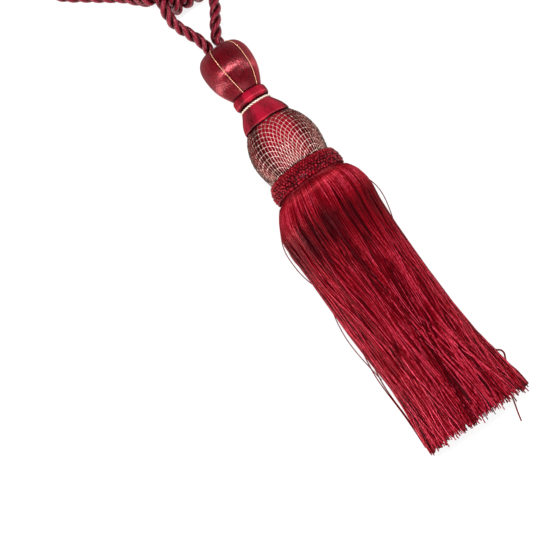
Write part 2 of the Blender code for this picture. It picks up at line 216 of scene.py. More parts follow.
def tubes(paths, radius, sides, outward):
    """Threads: paths is (threads, stations, 3). Round each station lies a ring of corners at radius,
    across the path, the first of them outward. Returns points (threads, stations, sides, 3)."""
    along = unit(np.gradient(paths, axis=1))
    up = unit(outward - (outward * along).sum(-1, keepdims=True) * along)
    side = np.cross(along, up)
    turn = 2 * math.pi * np.arange(sides) / sides
    ring = np.cos(turn)[:, None] * up[:, :, None, :] + np.sin(turn)[:, None] * side[:, :, None, :]
    return paths[:, :, None, :] + np.broadcast_to(radius, paths.shape[:2])[:, :, None, None] * ring


def add_piece(name, rings, finish, marks=None):
    """A mesh object from rings of corners in millimetres (threads, stations, sides, 3), or from those of
    one thread: four-cornered sides, closed ends, and marks, which are values spread over the corners."""
    rings = rings.reshape(-1, *rings.shape[-3:])
    sides = rings.shape[2]
    corner = np.arange(rings[..., 0].size).reshape(rings.shape[:3])
    after = np.roll(corner, -1, axis=2)
    walls = np.stack([corner[:, :-1], after[:, :-1], after[:, 1:], corner[:, 1:]], axis=-1)
    ends = np.concatenate([corner[:, 0, ::-1], corner[:, -1]])
    corners = np.concatenate([walls.ravel(), ends.ravel()])
    sizes = np.repeat([4, sides], [walls.size // 4, len(ends)])
    mesh = bpy.data.meshes.new(name)
    mesh.vertices.add(corner.size)
    mesh.vertices.foreach_set("co", (rings * MM).astype(np.float32).ravel())
    mesh.loops.add(len(corners))
    mesh.loops.foreach_set("vertex_index", corners.astype(np.int32))
    mesh.polygons.add(len(sizes))
    mesh.polygons.foreach_set("loop_start", (np.cumsum(sizes) - sizes).astype(np.int32))
    mesh.update(calc_edges=True)
    for mark, values in (marks or {}).items():
        made = mesh.attributes.new(mark, "FLOAT", "POINT")
        made.data.foreach_set("value", np.broadcast_to(values, corner.shape).astype(np.float32).ravel())
    mesh.shade_smooth()
    mesh.materials.append(finish)
    piece = bpy.data.objects.new(name, mesh)
    bpy.context.scene.collection.objects.link(piece)
    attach(piece, "root")
    return piece


def knot_place(along, across, height):
    """A place in the knot's own axes, as x, y from the head's top, and height."""
    return (
        KNOT_MIDDLE[0] + along * math.cos(KNOT_SLANT) - across * math.sin(KNOT_SLANT),
        KNOT_MIDDLE[1] + along * math.sin(KNOT_SLANT) + across * math.cos(KNOT_SLANT),
        height,
    )


def tassel_cord_route():
    """Left leg, over the front of the knot, three and a half turns, and out below as the right leg."""
    steps = np.arange(int(KNOT_TURNS * KNOT_TURN_POINTS) + 1) / KNOT_TURN_POINTS
    turn = math.pi / 2 + 2 * math.pi * steps
    along = KNOT_FIRST + KNOT_PITCH * steps
    turns = knot_place(along, -KNOT_RADIUS * np.cos(turn), KNOT_LEVEL + KNOT_RADIUS * np.sin(turn))
    return np.vstack([LEFT_LEG, np.stack(turns, axis=1), RIGHT_LEG[::-1]])


def eye_route(side):
    """From the knot's middle on the upper strand, round one eye and back on the lower strand."""
    start = knot_place(side * EYE_START[0], EYE_START[1], 0.0)
    lean = math.cos(EYE_LEAN), math.sin(EYE_LEAN)

    def out(along, aside, height):
        return (
            start[0] + side * (along * lean[0] + aside * lean[1]),
            start[1] + along * lean[1] - aside * lean[0],
            height,
        )

    bend = [
        out(EYE_REACH + EYE_RADIUS * math.sin(turn), -EYE_RADIUS * math.cos(turn), ROPE_RADIUS + TABLE_GAP)
        for turn in np.radians((0, 30, 60, 90, 120, 150, 180))
    ]
    upper, lower = (
        [knot_place(side * along, across, KNOT_LEVEL + rise) for along, across in STACK_OUT]
        + [out(*spot) for spot in strand]
        for rise, strand in ((STACK_RISE, UPPER_STRAND), (-STACK_RISE, LOWER_STRAND))
    )
    return [*upper, *bend, *lower[::-1]]


def tieback_route():
    """One rope: out of the knot's middle, round the right eye, through the knot and round the left."""
    end = knot_place(0.5, 0.0, KNOT_LEVEL + STACK_RISE)
    other_end = knot_place(-0.5, 0.0, KNOT_LEVEL + STACK_RISE)
    middle = knot_place(0.0, 0.0, KNOT_LEVEL - STACK_RISE)
    return [end, *eye_route(1), middle, *eye_route(-1)[::-1], other_end]


def carried_frame(path):
    """A direction across the path at each station, carried on from the one before without twisting."""
    along = unit(np.gradient(path, axis=0))
    across = [unit(np.cross(along[0], (0.0, 0.0, 1.0)))]
    for direction in along[1:]:
        across.append(unit(across[-1] - (across[-1] @ direction) * direction))
    across = np.array(across)
    return across, np.cross(along, across)


def three_plies(path, thickness, phase):
    """Three tubes wound right-handed round the path: each ply's middle is on a circle that turns once
    in a lay, at the distance where the plies just press into each other."""
    across, upward = carried_frame(path)
    run = run_along(path)
    turn = 2 * math.pi * (run / ROPE_LAY + np.arange(3)[:, None] / 3) + phase
    away = np.cos(turn)[..., None] * across + np.sin(turn)[..., None] * upward
    share = thickness[None, :, None]
    middles = path + (ROPE_RADIUS - PLY_RADIUS) * share * away
    rings = tubes(middles, PLY_RADIUS * thickness, PLY_SIDES, -away)
    # How far out from the rope's middle each corner lies: the material paints the grooves darker by it, as
    # painted shade, and the crests paler, as painted highlight.
    out = np.linalg.norm(rings - path[None, :, None, :], axis=-1) / (ROPE_RADIUS * share)
    return rings, {"around": np.arange(PLY_SIDES) / PLY_SIDES, "along": run[:, None], "out": out}


def ply_rayon():
    """Viscose rayon floss, machine twisted: long shiny filaments, whose shine draws a pale line along
    each ply's crest. The crest is also painted paler, and painted shade falls to a brown-black crimson where
    the plies meet."""
    made, tree, shader = new_material("twisted rayon floss")
    around, along, out = (
        add_node(tree, "ShaderNodeAttribute", attribute_name=name).outputs["Fac"]
        for name in ("around", "along", "out")
    )
    yarns = add_node(tree, "ShaderNodeMath", {0: around, 1: YARNS}, operation="MULTIPLY")
    slant = add_node(tree, "ShaderNodeMath", {0: along, 1: YARN_SLANT, 2: yarns}, operation="MULTIPLY_ADD")
    turned = add_node(tree, "ShaderNodeMath", {0: slant, 1: 2 * math.pi}, operation="MULTIPLY")
    wave = add_node(tree, "ShaderNodeMath", {0: turned}, operation="COSINE")
    # Filaments finer than the render shows are drawn as a noise of about 1 mm.
    spot = add_node(tree, "ShaderNodeTexCoord").outputs["Object"]
    fibre = add_node(tree, "ShaderNodeTexNoise", {"Vector": spot, "Scale": 1100.0, "Detail": 2.0})
    height = add_node(tree, "ShaderNodeMath", {0: wave, 1: 0.16, 2: fibre}, operation="MULTIPLY_ADD")
    # Painted shade and highlight: darker down into the grooves between the plies, paler on their crests.
    deep = add_node(tree, "ShaderNodeMapRange", {"Value": out, "From Min": 0.66, "From Max": 1.0})
    mixed = add_node(tree, "ShaderNodeMath", {0: height, 1: -0.5}, operation="ADD")
    level = add_node(tree, "ShaderNodeMath", {0: mixed, 1: 0.40, 2: deep}, operation="MULTIPLY_ADD")
    tint = add_node(tree, "ShaderNodeValToRGB", {"Fac": level})
    set_stops(tint, (0.12, "#1c0103"), (0.38, "#48050f"), (0.72, "#5e0819"), (1.0, "#7c1028"))
    bump = add_node(tree, "ShaderNodeBump", {"Height": height, "Strength": 0.8, "Distance": 0.0004})
    set_inputs(tree, shader, {
        "Base Color": tint,
        "Normal": bump,
        "Metallic": 0.2,
        "Roughness": 0.22,
        "Specular IOR Level": 0.8,
        "Specular Tint": linear("#ffb0b4"),
    })
    return made


rope_finish = ply_rayon()
for name, route, phase, tight in (
    ("tassel_cord_plies", tassel_cord_route(), 0.6, False),
    ("tieback_rope_plies", tieback_route(), 0.0, True),
):
    path = even_steps(route, 1.0)
    aside = np.hypot(path[:, 0] - KNOT_MIDDLE[0], path[:, 1] - KNOT_MIDDLE[1])
    loose = np.clip((aside - SQUEEZED_FOR) / (LOOSE_FROM - SQUEEZED_FOR), 0, 1)
    thickness = SQUEEZE + (1 - SQUEEZE) * loose if tight else np.ones(len(path))
    path = path + (*HEAD_TOP, 0.0)
    if not tight:  # the tassel cord's two legs go a little way down the ball's hole
        path[0] -= LEG_SUNK
        path[-1] -= LEG_SUNK
    rings, marks = three_plies(path, thickness, phase)
    rings[..., 2] = np.maximum(rings[..., 2], 0.05)  # pressed flat on the table
    piece = add_piece(name, rings, rope_finish, marks)
    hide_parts(name.replace("_plies", ""))

# ---- Table and light -----------------------------------------------------------------------------
# A white table that glows a little of itself, so that it stays as white as the photo's, and four lamps:
# a wide one over the fringe, a long narrow one that draws the band of light across the head, and a
# small one at each side.
FLOOR_HALF = 1.5
floor_mesh = bpy.data.meshes.new("table")
floor_mesh.from_pydata(
    [(x * FLOOR_HALF, y * FLOOR_HALF, 0.0) for x, y in ((-1, -1), (1, -1), (1, 1), (-1, 1))],
    [],
    [(0, 1, 2, 3)],
)
table_white, table_tree, table_shader = new_material("white table top")
set_inputs(table_tree, table_shader, {
    "Base Color": linear("#8c8c8c"),
    "Roughness": 0.9,
    "Emission Color": linear("#ffffff"),
    "Emission Strength": 0.76,
})
floor_mesh.materials.append(table_white)
floor = bpy.data.objects.new("table", floor_mesh)
bpy.context.scene.collection.objects.link(floor)

world = bpy.data.worlds.new("white surround")
world.use_nodes = True
white_all_round = {"Color": linear("#ffffff"), "Strength": 0.19}
set_inputs(world.node_tree, world.node_tree.nodes["Background"], white_all_round)
bpy.context.scene.world = world
bpy.context.scene.view_settings.view_transform = "Standard"

for name, place, size, watts in (  # places and sizes in metres
    ("lamp over the fringe", (-0.10, -1.15, 1.25), (1.2, 0.8), 16.0),
    ("lamp over the head", (0.0, 0.345, 1.4), (1.10, 0.05), 24.0),
    ("lamp at the left", (-1.40, -0.21, 0.10), (0.36, 0.18), 11.0),
    ("lamp at the right", (1.34, -0.04, 0.42), (0.2, 0.2), 4.5),
):
    lamp = bpy.data.lights.new(name, "AREA")
    lamp.shape = "RECTANGLE"
    lamp.size, lamp.size_y = size
    lamp.energy = watts
    shade = bpy.data.objects.new(name, lamp)
    shade.location = place
    # Each is tipped over from facing down, and turned, so that it faces the tassel's middle.
    tipped = math.atan2(math.hypot(place[0], place[1]), place[2])
    shade.rotation_euler = (tipped, 0.0, math.atan2(place[0], -place[1]))
    bpy.context.scene.collection.objects.link(shade)

# ---- Head ball -----------------------------------------------------------------------------------
# A turned wooden mould, wound over from hole to hole with crimson rayon floss, so its threads run
# along its meridians and the light lies across them as one jagged band.
HEAD_DIP = math.radians(10.5)
HEAD_LEVEL = 14.03  # height of the head's top, with the ball just pressed flat on the table
HEAD_BALL = ((0.0, 8.0), (1.9, 12.5), (6.5, 15.35), (15.7, 16.7), (25.0, 15.2), (31.5, 12.3), (35.4, 10.1))
THREAD_SIDES = 4  # columns of points to a thread of the winding
THREAD_UNEVEN = 0.35  # how much higher or lower a thread lies than the next, in its own heights
THREAD_SWAY = 0.0025  # how far it strays round the mould, in radians
SWAY_WAVES = 4
FOOT_SHADE = 0.35  # how much darker a mould is at its very foot,
FOOT_RISE = 1.5  # and how far up the shade reaches
BALL_THREADS = 190
LINE_TURNS = np.radians((-19, 43, 118, 199, 239))  # where the gold threads lie, laid by hand
LINE_SLANT = math.radians(9.0)  # how far a gold thread has turned at its end
LINE_DENT_AND_SHADE = 0.75  # half width and depth of the dent it presses into the winding; the half width is also that of the painted shade round it
LINE_DEPTH = 0.16


def on_head(along, radius, turn):
    """Places round the head's axis: so far from its top along the axis, which dips towards the cord,
    so far out, and turned so far from the upper side towards the right."""
    along, radius, turn = np.broadcast_arrays(along, radius, turn)
    lift = radius * np.cos(turn)
    return np.stack(
        [
            HEAD_TOP[0] + radius * np.sin(turn),
            HEAD_TOP[1] - along * math.cos(HEAD_DIP) + lift * math.sin(HEAD_DIP),
            HEAD_LEVEL + along * math.sin(HEAD_DIP) + lift * math.cos(HEAD_DIP),
        ],
        axis=-1,
    )


def outline_rows(profile, rows):
    """A profile's smooth curve at even steps, with its outward direction and the run along it."""
    dense = smooth_curve(profile, np.linspace(0, 1, 1500))
    run = run_along(dense)
    stops = np.linspace(0, run[-1], rows)
    spots = read_line(dense, run, stops)
    slope = unit(np.gradient(spots, axis=0))
    return spots, np.stack([-slope[:, 1], slope[:, 0]], axis=1), stops


def over_outline(outline, run, lift):
    """Places so far down an outline and so far over it, as along the head's axis and out from it."""
    spots, outward, stops = outline
    return (
        np.interp(run, stops, spots[:, part]) + np.interp(run, stops, outward[:, part]) * lift
        for part in range(2)
    )


def closeness(turn, middle, width):
    """A bell curve round the head's axis: one at the middle, and a third of one at width away."""
    away = (turn - middle + math.pi) % (2 * math.pi) - math.pi
    return np.exp(-((away / width) ** 2))


def wound_mould(name, profile, ends, rows, threads, depth, finish, lines=(), strips=()):
    """A profile turned round the head's axis, with each thread raised as half a wave round it: the
    surface is moved out by depth times the size of the wave, and each thread by a little of its own.
    The two ends are turned in to the places given. Where a gold thread lies on a line, the winding is
    dented, and painted darker round it as painted shade. Strips, each (turn, width, strength, how far
    down it reaches), are painted paler than the rest as painted highlight, or darker as painted shade
    where the strength is below nothing. The foot lies in the shade of what comes after it."""
    columns = THREAD_SIDES * threads
    spots, outward, stops = outline_rows(profile, rows - len(ends[0]) - len(ends[1]))
    before, after = (np.reshape(group, (-1, 2)) for group in ends)
    spots = np.vstack([before, spots, after])
    outward = np.vstack([0 * before, outward, 0 * after])
    stops = np.concatenate([0 * before[:, 0], stops, stops[-1] + 0 * after[:, 0]])
    column = np.arange(columns)
    turn = 2 * math.pi * column / columns + math.pi
    own = chance.normal(0, THREAD_UNEVEN, threads)[column // THREAD_SIDES]
    sway = chance.normal(0, 1.0, (SWAY_WAVES, threads))[:, column // THREAD_SIDES]
    share = np.linspace(0, 1, rows)[:, None]
    drift = THREAD_SWAY * sum(
        sway[wave] * np.sin(math.pi * (wave + 1) * share) for wave in range(SWAY_WAVES)
    )
    dent_and_shade = np.zeros((rows, columns))
    for line in lines:
        width = LINE_DENT_AND_SHADE / np.maximum(spots[:, 1:], 1.0)
        dent_and_shade = np.maximum(dent_and_shade, closeness(turn, line + LINE_SLANT * share, width))
    # Painted shade: darker round each gold thread and at the foot; the strips below are painted highlight and
    # painted shade.
    foot = np.clip((stops[:, None] - stops[-1]) / FOOT_RISE + 1, 0, 1)
    tone = 0.5 - 0.5 * dent_and_shade - FOOT_SHADE * foot
    for middle, width, strength, reach in strips:
        fades = np.clip(2 - 2 * stops[:, None] / reach, 0, 1)
        tone = tone + strength * closeness(turn, middle, width) * fades
    crest = np.abs(np.sin(math.pi * (column % THREAD_SIDES + 0.5) / THREAD_SIDES))
    raised = depth * (crest + own) - LINE_DEPTH * dent_and_shade
    along = spots[:, :1] + outward[:, :1] * raised
    radius = spots[:, 1:] + outward[:, 1:] * raised
    points = on_head(along, radius, turn + drift)
    points[..., 2] = np.maximum(points[..., 2], 0.03)  # pressed flat on the table
    marks = {"around": column / columns, "along": stops[:, None], "tone": tone}
    piece = add_piece(name, points, finish, marks)
    # A map round and down the mould, for the threads' direction: faces over its seam are unrolled.
    uv = piece.data.uv_layers.new(name="wound")
    corners = np.empty(len(piece.data.loops), np.int32)
    piece.data.loops.foreach_get("vertex_index", corners)
    placed = np.stack([corners % columns / columns, corners // columns / rows], axis=1)
    starts = np.arange(4 * (rows - 1) * columns).reshape(-1, 4)
    last = placed[starts, 0].max(axis=1) - placed[starts, 0].min(axis=1) > 0.5
    seam = starts[last]
    placed[seam, 0] = np.where(placed[seam, 0] < 0.5, placed[seam, 0] + 1, placed[seam, 0])
    uv.data.foreach_set("uv", placed.astype(np.float32).ravel())
    return piece


def wound_rayon(name, low, high, threads, rough, shine):
    """Viscose rayon floss laid side by side: a satin whose light is stretched across the threads, with
    each thread a little darker or paler than the next. Low and high are its darkest and palest."""
    made, tree, shader = new_material(name)
    around, along, tone = (
        add_node(tree, "ShaderNodeAttribute", attribute_name=mark).outputs["Fac"]
        for mark in ("around", "along", "tone")
    )
    # A noise on a circle closes up round the mould, and is drawn out about fivefold down it.
    turned = add_node(tree, "ShaderNodeMath", {0: around, 1: 2 * math.pi}, operation="MULTIPLY")
    cosine = add_node(tree, "ShaderNodeMath", {0: turned}, operation="COSINE")
    sine = add_node(tree, "ShaderNodeMath", {0: turned}, operation="SINE")
    slow = add_node(tree, "ShaderNodeMath", {0: along, 1: 0.012}, operation="MULTIPLY")
    spot = add_node(tree, "ShaderNodeCombineXYZ", {"X": cosine, "Y": sine, "Z": slow})
    grain = {"Vector": spot, "Scale": threads / 7, "Detail": 3.0, "Roughness": 0.65}
    streak = add_node(tree, "ShaderNodeTexNoise", grain)
    shade = add_node(tree, "ShaderNodeMath", {0: tone, 1: 0.7, 2: streak}, operation="MULTIPLY_ADD")
    tint = add_node(tree, "ShaderNodeValToRGB", {"Fac": shade})
    set_stops(tint, (0.45, "#2a0204"), (0.62, low), (1.0, high))
    bump = add_node(tree, "ShaderNodeBump", {"Height": streak, "Strength": 0.5, "Distance": 0.0002})
    set_inputs(tree, shader, {
        "Base Color": tint,
        "Normal": bump,
        "Tangent": add_node(tree, "ShaderNodeTangent", direction_type="UV_MAP", uv_map="wound"),
        "Roughness": rough,
        "Anisotropic": 1.0,
        "Metallic": 0.45 * shine,
        "Specular IOR Level": shine,
        "Specular Tint": linear("#ffa8ae"),
    })
    return made


ball_outline = ((1.5, 7.6), (2.9, 12.2), *HEAD_BALL[2:])
ball = wound_mould(
    "head_ball_winding",
    ball_outline,
    (((2.6, 2.0), (1.7, 5.0)), ((35.5, 8.5),)),
    60,
    BALL_THREADS,
    0.09,
    wound_rayon("wound rayon floss", "#3c040e", "#800a1a", BALL_THREADS, 0.29, 0.75),
    LINE_TURNS,
    # Painted highlight towards the right-hand side, and a broad, faint painted shade just right of the top.
    ((math.radians(76), 0.25, 0.45, 90.0), (math.radians(20), 0.5, -0.12, 90.0)),
)
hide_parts("head_ball")

# ---- Gilt lines ----------------------------------------------------------------------------------
# Five gold threads laid by hand over the winding, each of two fine metallised strips twisted together.
STRIP_RADIUS = 0.155
STRIP_AWAY = STRIP_RADIUS * 0.8  # from the line's middle to a strip's
STRIP_LAY = 1.9
LINE_LIFT = 0.26
LINE_ROWS = 162  # along the whole outline of the ball,
LINE_STARTS = 12  # of which the first, at the ball's hole, are left out
LINE_STATIONS = LINE_ROWS - LINE_STARTS


def gilt_paths():
    """Two strips round each line: the line lies on the ball's outline, and its turn grows evenly."""
    outline = outline_rows(ball_outline, LINE_ROWS)
    stops = outline[2][LINE_STARTS:]
    turn = LINE_TURNS[:, None] + LINE_SLANT * np.linspace(0, 1, LINE_ROWS)[LINE_STARTS:]
    twist = 2 * math.pi * stops / STRIP_LAY + math.pi * np.arange(2)[:, None]
    lift = LINE_LIFT + STRIP_AWAY * np.cos(twist)
    along, radius = over_outline(outline, stops, lift)
    return on_head(along, radius, turn[:, None, :] + STRIP_AWAY * np.sin(twist) / radius)


# Foil on a thread shines like metal here and there and like paint between, so it is partly metallic.
gilt_finish, gilt_tree, gilt_shader = new_material("gold metallised thread")
set_inputs(gilt_tree, gilt_shader, {"Base Color": linear("#f2ac88"), "Metallic": 0.4, "Roughness": 0.35})
gilt_places = gilt_paths().reshape(2 * len(LINE_TURNS), LINE_STATIONS, 3)
ball_axis = on_head(np.linspace(1.5, 35.4, LINE_STATIONS), 0, 0)
gilt_rings = tubes(gilt_places, STRIP_RADIUS, 5, gilt_places - ball_axis)
gilt = add_piece("gilt_threads", gilt_rings, gilt_finish)
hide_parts(*[f"gilt_line_{number}" for number in range(1, 6)])

# ---- Collar and cone -----------------------------------------------------------------------------
# Two more wooden moulds under the ball, wound with the same floss: a rounded collar, and a flared cone
# with a narrow turned-in lip at its foot.
COLLAR = ((35.7, 10.3), (36.7, 11.2), (39.2, 11.6), (41.7, 11.3), (42.6, 10.5))
CONE = ((45.2, 10.4), (48.7, 12.6), (52.7, 14.8), (55.2, 15.65), (57.2, 15.9), (57.9, 15.7))
LIGHT_AND_SHADE_STRIPS = (  # painted highlight and painted shade as paler and darker strips of thread: turn, width, strength, and how far down the mould
    (math.radians(-31), 0.25, -0.28, 90.0),
    (math.radians(-5), 0.20, 0.45, 90.0),
    (math.radians(24), 0.20, -0.04, 90.0),
    (math.radians(46), 0.25, 0.20, 90.0),
    (math.radians(75), 0.30, -0.25, 90.0),
)
small_finish = wound_rayon("wound rayon floss on the collar", "#4c050d", "#ac1430", 150, 0.46, 0.45)
for node, profile, ends, rows, threads in (
    ("collar", COLLAR, (((35.6, 9.0),), ((42.7, 9.0),)), 16, 150),
    ("cone", CONE, (((45.1, 9.0),), ((57.95, 15.0), (57.8, 13.5))), 26, 190),
):
    mould = wound_mould(node + "_winding", profile, ends, rows, threads, 0.05, small_finish, strips=LIGHT_AND_SHADE_STRIPS)
    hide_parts(node)

# ---- Cream band ----------------------------------------------------------------------------------
# One turn of ivory two-ply cotton cord, laid in the groove between collar and cone.
CREAM_RING = (44.5, 10.2)  # along the axis, and out to the cord's middle
CREAM_PLY = 0.46
CREAM_AWAY = 0.36  # from the cord's middle to a ply's
CREAM_LAY = 3.8
CREAM_STATIONS = 361


def cream_plies(round_it):
    """Two plies round a ring: each ply's middle circles the ring's own line once in a lay."""
    twist = round_it * round(2 * math.pi * CREAM_RING[1] / CREAM_LAY) + math.pi * np.arange(2)[:, None]
    along = CREAM_RING[0] + CREAM_AWAY * np.sin(twist)
    radius = CREAM_RING[1] + CREAM_AWAY * np.cos(twist)
    return on_head(along, radius, round_it)


def grained_thread(name, grain, detail, weights, stops, look, dent=None):
    """A thread too fine to draw its fibres: its colour is read on a ramp from a noise, with so many
    grains to a metre, from the noise times the tone of each point, and from the tone, each times its
    weight. With a dent, in metres, the noise also roughens the surface."""
    made, tree, shader = new_material(name)
    spot = add_node(tree, "ShaderNodeTexCoord").outputs["Object"]
    noise = add_node(tree, "ShaderNodeTexNoise", {"Vector": spot, "Scale": grain, "Detail": detail})
    tone = add_node(tree, "ShaderNodeAttribute", attribute_name="tone").outputs["Fac"]
    own = {0: tone, 1: weights[1], 2: weights[0]}
    noisy = add_node(tree, "ShaderNodeMath", own, operation="MULTIPLY_ADD")
    toned = add_node(tree, "ShaderNodeMath", {0: tone, 1: weights[2]}, operation="MULTIPLY")
    level = add_node(tree, "ShaderNodeMath", {0: noise, 1: noisy, 2: toned}, operation="MULTIPLY_ADD")
    tint = add_node(tree, "ShaderNodeValToRGB", {"Fac": level})
    set_stops(tint, *stops)
    set_inputs(tree, shader, {"Base Color": tint, **look})
    if dent:
        bump = add_node(tree, "ShaderNodeBump", {"Height": noise, "Strength": 0.8, "Distance": dent})
        set_inputs(tree, shader, {"Normal": bump})
    return made


# Cotton, twisted: pale and matt, painted a darker brown in the groove between its plies as painted shade.
cream_stops = (0.42, "#9c6450"), (0.82, "#ecdccb")
cream_weights, cream_look = (0.8, 0.0, 1.0), {"Roughness": 0.6}
cream_finish = grained_thread("ivory cotton cord", 420.0, 2.0, cream_weights, cream_stops, cream_look)
cream_round = np.linspace(0, 2 * math.pi, CREAM_STATIONS)
cream_places = cream_plies(cream_round)
cream_middle = on_head(*CREAM_RING, cream_round)
cream_rings = tubes(cream_places, CREAM_PLY, 10, cream_places - cream_middle)
cream_out = unit(cream_middle - on_head(CREAM_RING[0], 0, 0))
cream_height = ((cream_rings - cream_middle[:, None]) * cream_out[:, None]).sum(axis=-1)
# Painted shade: the deeper a point lies in the groove between the plies, the darker.
cream_groove_shade = np.interp(cream_height, (0.25, 0.75), (0.0, 0.5))
cream = add_piece("cream_cord_ring", cream_rings, cream_finish, {"tone": cream_groove_shade})
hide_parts("cream_band")

# ---- Net ball ------------------------------------------------------------------------------------
# The large mould, wound with crimson floss and covered with a square-meshed net of metallised thread.
# The net is drawn down over the ball from the cone, so that its meshes stand square at five places
# round the ball and are pulled into long diamonds between them.
NET_BALL = ((58.9, 15.9), (62.8, 18.6), (67.8, 20.9), (73.5, 22.4), (79.1, 22.8), (85.0, 22.2), (92.9, 20.5))
NET_SQUARE = np.radians((-41.0, 39.5, 109.4, 179.2, 249.1, 319.0))  # where the meshes stand square
NET_MESH = 3.6
NET_LINES = 16  # enough lines each way to reach the braid
NET_LOBES = 5
NET_START = 17.0  # from the point where the flat net would close to its edge at the cone
NET_NARROW = 3.0  # a mesh's height at the cone
NET_GROWTH = 0.035  # and how much taller it is for each millimetre down the ball
NET_SETTLES = 12  # how often a sum that needs its own result is repeated
NET_LIFT = 0.14
NET_SLACK = 0.11  # how far a strand strays from its line
NET_STEP = 1.3  # between a strand's stations, of which each piece of it has so many:
NET_STATIONS = 7
STRAND_RADIUS = 0.15
BALL_MIDDLE = 76.0  # down the axis
CROSSING_LIFT = 0.2
CROSSING_STRAY = 0.08
CROSSING_SHAPE = ((-0.42, 0.11), (-0.2, 0.25), (0.2, 0.25), (0.42, 0.11))  # down the ball, half width

net_ground = wound_mould(
    "net_ball_winding",
    NET_BALL,
    (((58.7, 13.5), (58.6, 15.0)), ((93.1, 19.5),)),
    40,
    220,
    0.06,
    wound_rayon("wound rayon floss under the net", "#2a0206", "#900a22", 220, 0.60, 0.15),
    # Painted highlight on the upper side near the cone, and painted shade at both sides of the ball.
    strips=(
        (math.radians(8), 0.40, 0.75, 22.0),
        (math.radians(-40), 0.26, -0.35, 90.0),
        (math.radians(46), 0.26, -0.3, 90.0),
    ),
)
net_outline = outline_rows(NET_BALL, 200)


def net_lean(run, lobe):
    """How far the lines keep back from an even turn, by a sine in each lobe of the net, so that the
    meshes are wider at the square places: hardly at the cone, and most some 22 mm down the ball."""
    return np.interp(run, (0, 22, 36), (0.02, 0.36, 0.30)) * np.sin(2 * math.pi * lobe) / (2 * math.pi)


def net_run(reach):
    """How far down the ball a flat distance reaches, where the meshes grow evenly taller."""
    return NET_NARROW / NET_GROWTH * (np.exp((reach - NET_START) * NET_GROWTH / NET_MESH) - 1)


def net_lines():
    """The lines of the net, as arrays of turn and run. Laid flat, its lines lie at half meshes from two
    crossed middle lines. The flat angle grows by a quarter turn from one square place to the next, and
    a line is where its flat distance over the sine or cosine of that angle reaches, found by repeating
    the sum with the run from the time before."""
    lobe = np.linspace(0, NET_LOBES, 30001)
    turn = np.interp(lobe, np.arange(NET_LOBES + 1), NET_SQUARE)
    found = []
    for wave in (np.cos, np.sin):
        for number in np.arange(NET_LINES) + 0.5:
            for sign in (-1, 1):
                run = np.full(lobe.shape, 10.0)
                for _ in range(NET_SETTLES):
                    size = sign * wave(math.pi / 2 * (lobe - net_lean(run, lobe)))
                    run = np.clip(net_run(number * NET_MESH / np.maximum(size, 0.02)), -1, 60)
                inside = (run > 0) & (run < net_outline[2][-1]) & (size > 0.02)
                edges = np.flatnonzero(np.diff(inside.astype(int)))
                for part in np.split(np.arange(len(turn)), edges + 1):
                    if inside[part[0]] and len(part) > 20:
                        found.append((turn[part], run[part]))
    return found


def net_crossings():
    """Where the lines cross: at each pair of half meshes in each lobe of the net."""
    half = NET_MESH * (np.arange(NET_LINES) + 0.5)
    one, other = (grid.ravel() for grid in np.meshgrid(half, half))
    run = net_run(np.hypot(one, other))
    flat = np.arctan2(other, one) / (math.pi / 2)
    inside = (run > 0.2) & (run < net_outline[2][-1])
    run, flat = run[inside], flat[inside]
    share = flat
    for _ in range(NET_SETTLES):
        share = flat + net_lean(run, share)
    lobe = np.arange(NET_LOBES)[:, None] + share
    return np.interp(lobe, np.arange(NET_LOBES + 1), NET_SQUARE).ravel(), np.tile(run, NET_LOBES)


def on_net(turn, run, lift):
    """Places so far over the netted ball's surface."""
    return on_head(*over_outline(net_outline, run, lift), turn)


def net_paths():
    """Each line cut into threads of the same number of stations, so that they make one array."""
    pieces, spans = [], NET_STATIONS - 1
    for turn, run in net_lines():
        places = on_net(turn, run, NET_LIFT)
        length = run_along(places)
        count = max(1, round(length[-1] / (NET_STEP * spans)))
        cuts = np.linspace(0, length[-1], count * spans + 1)
        even = read_line(places, length, cuts)
        even = even + NET_SLACK * np.sin(cuts[:, None] * (1.1, 1.3, 0.9) + chance.uniform(0, 6, 3))
        pieces.append(even[np.arange(count)[:, None] * spans + np.arange(NET_STATIONS)])
    return np.concatenate(pieces)


def net_light_by_height(rings):
    """Painted light and shade: the strands are painted paler on the ball's upper side and darker and
    more olive towards the table. The tone is read from the height."""
    height = (rings[..., 2] - HEAD_LEVEL) / 45.0  # about 0.8 at the top of the ball
    return np.interp(height, (0.3, 0.52, 0.62, 0.74, 0.85), (-0.20, -0.06, 0.10, 0.30, 0.38))


# A foil strip wound on an olive thread: each 1.4 mm or so of it is turned another way to the light, drawn
# as a noise in its colour from the olive core up to painted glints of the foil.
net_stops = (0.4, "#2c2018"), (0.82, "#c89c8e"), (1.0, "#ffd8d2")
net_look = {"Metallic": 0.3, "Specular IOR Level": 0.35, "Roughness": 0.22}
net_finish = grained_thread("metallised net thread", 700.0, 1.0, (1.15, 0.0, 1.0), net_stops, net_look)
net_places = net_paths()
net_middle = on_head(BALL_MIDDLE, 0, 0)
net_rings = tubes(net_places, STRAND_RADIUS, 4, net_places - net_middle)
net = add_piece("net_strands", net_rings, net_finish, {"tone": net_light_by_height(net_rings)})
crossing_turn, crossing_run = net_crossings()
crossing_run = crossing_run + chance.normal(0, CROSSING_STRAY, len(crossing_run))
crossing = np.stack(
    [on_net(crossing_turn, crossing_run + shift, CROSSING_LIFT) for shift, _ in CROSSING_SHAPE], axis=1
)
crossing_width = np.broadcast_to([width for _, width in CROSSING_SHAPE], crossing.shape[:2])
crossing_rings = tubes(crossing, crossing_width, 6, crossing - net_middle)
crossing_tone = net_light_by_height(crossing_rings) + 0.12  # a knot stands up into the light
net_knots = add_piece("net_knots", crossing_rings, net_finish, {"tone": crossing_tone})
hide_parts("net_ball")

